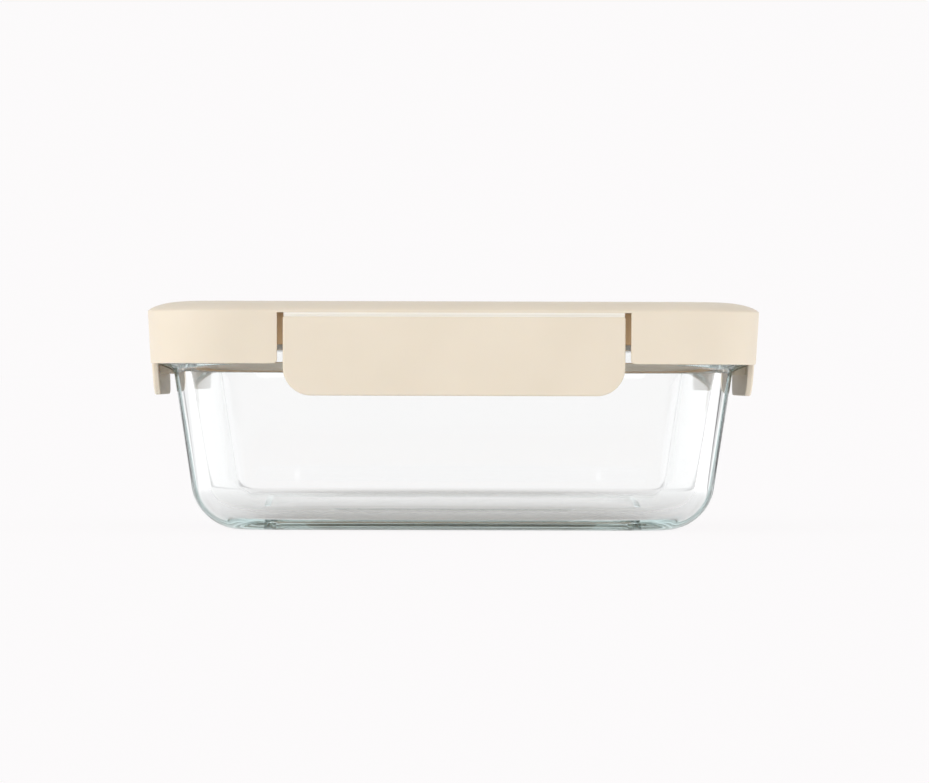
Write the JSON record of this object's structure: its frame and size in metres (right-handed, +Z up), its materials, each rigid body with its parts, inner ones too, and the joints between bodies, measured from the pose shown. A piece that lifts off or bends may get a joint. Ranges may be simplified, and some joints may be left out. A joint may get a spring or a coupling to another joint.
{
  "type": "snap lid food container",
  "caption": "Rectangular clear glass food dish with a soft-cornered cream plastic lid, silicone gasket and hinged snap flaps that hook under the glass rim.",
  "frame": {"origin": "centre of the base, on the surface the dish stands on", "axes": "+Z up, +X along the long side, -Y towards the front flap"},
  "size_m": [0.207, 0.152, 0.0775],
  "materials": {
    "dish_glass": "clear pressed borosilicate, fire polished",
    "lid_plastic": "fine satin moulded polypropylene, warm cream",
    "gasket_silicone": "soft translucent silicone"
  },
  "bodies": {
    "dish": {"glass_dish": "dish_glass"},
    "lid": {"lid_shell": "lid_plastic", "lid_gasket": "gasket_silicone"},
    "front_web": {"front_hinge_web": "lid_plastic"},
    "front_flap": {"front_flap": "lid_plastic"},
    "rear_web": {"rear_hinge_web": "lid_plastic"},
    "rear_flap": {"rear_flap": "lid_plastic"},
    "left_web": {"left_hinge_web": "lid_plastic"},
    "left_flap": {"left_flap": "lid_plastic"},
    "right_web": {"right_hinge_web": "lid_plastic"},
    "right_flap": {"right_flap": "lid_plastic"}
  },
  "joints": [
    {"name": "lid_lift", "type": "slide", "parent": "dish", "child": "lid", "axis": [0, 0, 1], "range_m": [0, 0.015]},
    {"name": "front_web_bend", "type": "hinge", "parent": "lid", "child": "front_web", "pos_m": [0, -0.07554, 0.0731], "axis": [-1, 0, 0], "range_deg": [0, 75]},
    {"name": "front_flap_open", "type": "hinge", "parent": "front_web", "child": "front_flap", "pos_m": [0, -0.07554, 0.0721], "axis": [-1, 0, 0], "range_deg": [0, 100]},
    {"name": "rear_web_bend", "type": "hinge", "parent": "lid", "child": "rear_web", "pos_m": [0, 0.07554, 0.0731], "axis": [1, 0, 0], "range_deg": [0, 75]},
    {"name": "rear_flap_open", "type": "hinge", "parent": "rear_web", "child": "rear_flap", "pos_m": [0, 0.07554, 0.0721], "axis": [1, 0, 0], "range_deg": [0, 100]},
    {"name": "left_web_bend", "type": "hinge", "parent": "lid", "child": "left_web", "pos_m": [-0.10304, 0, 0.0731], "axis": [0, 1, 0], "range_deg": [0, 75]},
    {"name": "left_flap_open", "type": "hinge", "parent": "left_web", "child": "left_flap", "pos_m": [-0.10304, 0, 0.0721], "axis": [0, 1, 0], "range_deg": [0, 100]},
    {"name": "right_web_bend", "type": "hinge", "parent": "lid", "child": "right_web", "pos_m": [0.10304, 0, 0.0731], "axis": [0, -1, 0], "range_deg": [0, 75]},
    {"name": "right_flap_open", "type": "hinge", "parent": "right_web", "child": "right_flap", "pos_m": [0.10304, 0, 0.0721], "axis": [0, -1, 0], "range_deg": [0, 100]}
  ],
  "couplings": [
    {"joint": "front_web_bend", "follows": "lid_lift", "rad_per_m": 87.258},
    {"joint": "rear_web_bend", "follows": "lid_lift", "rad_per_m": 87.258},
    {"joint": "left_web_bend", "follows": "lid_lift", "rad_per_m": 87.258},
    {"joint": "right_web_bend", "follows": "lid_lift", "rad_per_m": 87.258}
  ]
}
